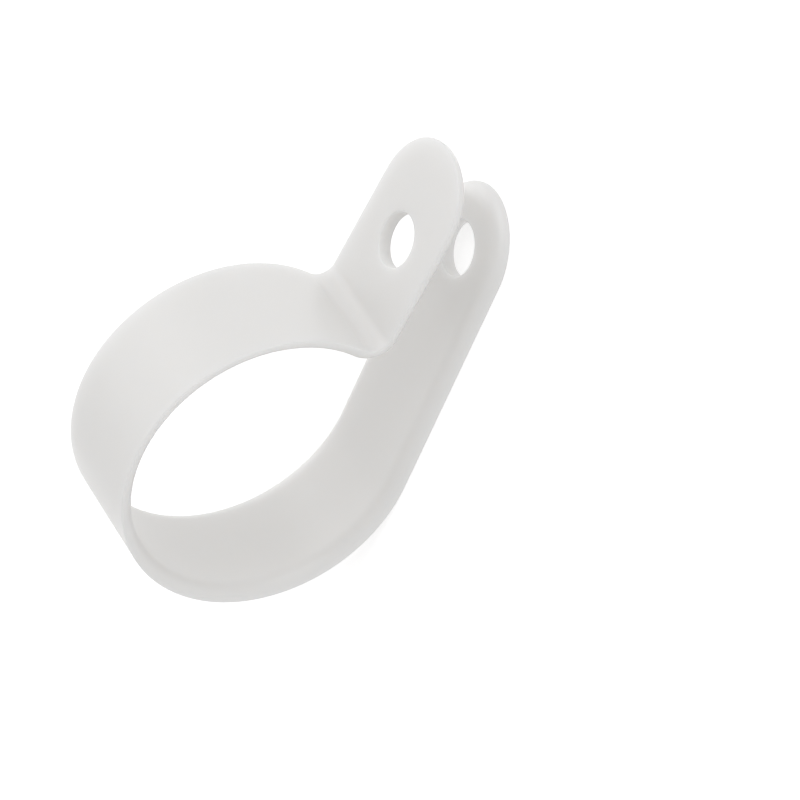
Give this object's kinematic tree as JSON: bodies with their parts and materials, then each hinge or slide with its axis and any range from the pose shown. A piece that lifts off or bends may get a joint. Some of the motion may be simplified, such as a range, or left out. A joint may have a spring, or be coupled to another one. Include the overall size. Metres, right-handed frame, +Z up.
{
  "type": "p clip",
  "caption": "One-piece moulded nylon P clip: a rounded-edge strap loop that holds a cable, hose or pipe, with two round-ended tabs drilled for one fixing screw.",
  "frame": {"origin": "centre of the base tab's screw hole, on the mounting face", "axes": "+X from the loop towards the ends of the tabs, +Y along the loop's axis, +Z up from the mounting face"},
  "size_m": [0.0471, 0.0126, 0.0293],
  "materials": {
    "nylon": "natural off-white moulded nylon, satin and slightly translucent"
  },
  "bodies": {
    "root": {"clip": "nylon"}
  },
  "joints": []
}
